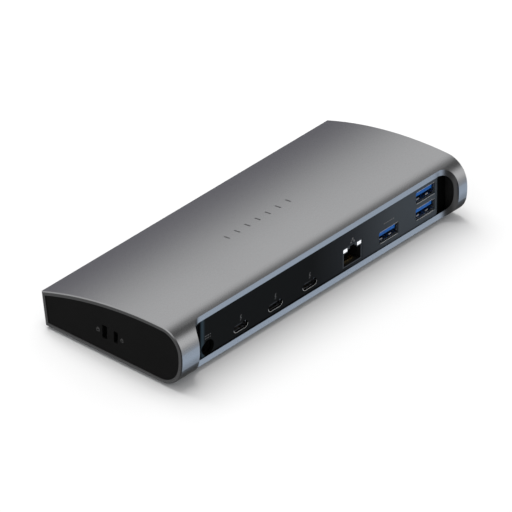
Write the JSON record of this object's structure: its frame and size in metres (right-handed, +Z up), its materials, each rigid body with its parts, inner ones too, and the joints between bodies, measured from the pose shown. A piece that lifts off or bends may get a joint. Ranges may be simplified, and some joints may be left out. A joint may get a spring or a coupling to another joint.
{
  "type": "laptop docking station",
  "caption": "Low desktop docking station: a curved metal sleeve on rubber feet with black end caps, ports along the back and front, lock slots in one end and a power button.",
  "frame": {"origin": "on the surface it stands on, under the middle of the body's length and depth", "axes": "+X along the body towards the end with the lock slots, +Y towards the rounded back with the port bay, +Z up; the low front face is at -Y"},
  "size_m": [0.2, 0.087, 0.0313],
  "materials": {
    "metal_sleeve": "fine satin anodised, space grey",
    "cap_plastic": "matte black",
    "inner_plastic": "matte black",
    "panel_plastic": "satin black",
    "steel": "plain",
    "board_green": "green solder mask",
    "chip_black": "moulded black",
    "pad_grey": "soft",
    "spreader_aluminium": "plain extruded",
    "capacitor_can": "bare can",
    "rubber": "matte",
    "connector_shell": "nickel plated sheet",
    "usb_blue": "moulded blue",
    "tongue_black": "moulded black",
    "gold": "gold plated",
    "light_window": "clear",
    "jack_barrel": "nickel plated",
    "button_plastic": "matte"
  },
  "bodies": {
    "dock": {"audio_jack_housing": "chip_black", "audio_jack_springs": "gold", "base_screws": "steel", "board_chips": "chip_black", "board_screws": "steel", "board_standoffs": "steel", "card_slot_base": "chip_black", "card_slot_contacts": "gold", "card_slot_cover": "connector_shell", "dc_jack_barrel": "jack_barrel", "dc_jack_housing": "chip_black", "dc_jack_pin": "jack_barrel", "end_cap_lock_side": "cap_plastic", "end_cap_plain_side": "cap_plastic", "end_frame_lock_side": "inner_plastic", "end_frame_plain_side": "inner_plastic", "end_frame_screws": "steel", "ethernet_contacts": "gold", "ethernet_housing": "chip_black", "ethernet_lights": "light_window", "ethernet_shield": "connector_shell", "filter_capacitors": "capacitor_can", "foot_back_lock": "rubber", "foot_back_plain": "rubber", "foot_front_lock": "rubber", "foot_front_plain": "rubber", "heat_spreader": "spreader_aluminium", "host_port_contacts": "gold", "host_port_shell": "connector_shell", "host_port_tongue": "tongue_black", "insulating_sheet": "inner_plastic", "lock_plate": "steel", "main_board": "board_green", "panel_carrier": "inner_plastic", "port_panel": "panel_plastic", "power_inductors": "chip_black", "power_switch": "chip_black", "sleeve": "metal_sleeve", "status_light_pipe": "light_window", "thermal_pad": "pad_grey", "usb_a_front_contacts": "gold", "usb_a_front_shell": "connector_shell", "usb_a_front_tongue": "usb_blue", "usb_a_rear_contacts": "gold", "usb_a_rear_shell": "connector_shell", "usb_a_rear_tongue": "usb_blue", "usb_a_stack_contacts": "gold", "usb_a_stack_shell": "connector_shell", "usb_a_stack_tongues": "usb_blue", "usb_c_port_1_contacts": "gold", "usb_c_port_1_shell": "connector_shell", "usb_c_port_1_tongue": "tongue_black", "usb_c_port_2_contacts": "gold", "usb_c_port_2_shell": "connector_shell", "usb_c_port_2_tongue": "tongue_black", "usb_c_port_3_contacts": "gold", "usb_c_port_3_shell": "connector_shell", "usb_c_port_3_tongue": "tongue_black"},
    "button": {"power_button": "button_plastic", "switch_plunger": "button_plastic"}
  },
  "joints": [
    {"name": "power_button_press", "type": "slide", "parent": "dock", "child": "button", "axis": [0, 1, 0], "range_m": [0, 0.0003], "stiffness_N_per_m": 1200}
  ]
}
